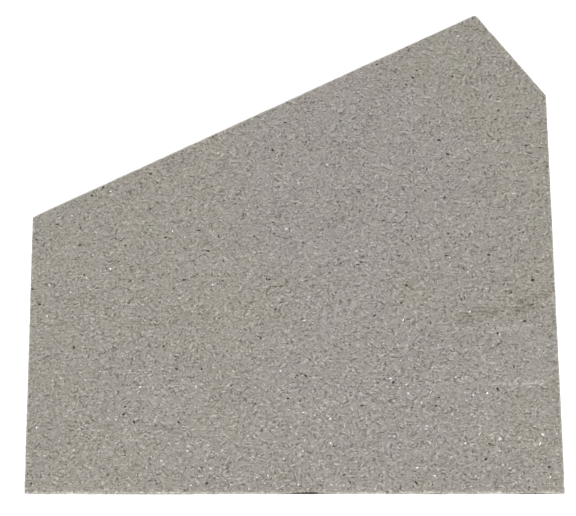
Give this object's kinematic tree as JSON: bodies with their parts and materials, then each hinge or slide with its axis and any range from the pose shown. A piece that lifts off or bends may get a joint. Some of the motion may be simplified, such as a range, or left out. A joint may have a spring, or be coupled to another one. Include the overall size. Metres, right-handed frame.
{
  "type": "refractory firebrick",
  "caption": "Flat side firebrick for a stove's firebox: one pressed vermiculite board with a sloping top edge and a cut-off rear corner.",
  "frame": {"origin": "middle of the bounding box, on the back face that the brick lies on", "axes": "+X along the foot edge from the door end to the rear end, +Y up the brick as it stands in the stove, +Z through the thickness from the back face to the fire face"},
  "size_m": [0.3, 0.2744, 0.025],
  "materials": {
    "vermiculite": "matt pressed vermiculite, warm grey with fine light and dark flakes"
  },
  "bodies": {
    "root": {"firebrick": "vermiculite"}
  },
  "joints": []
}
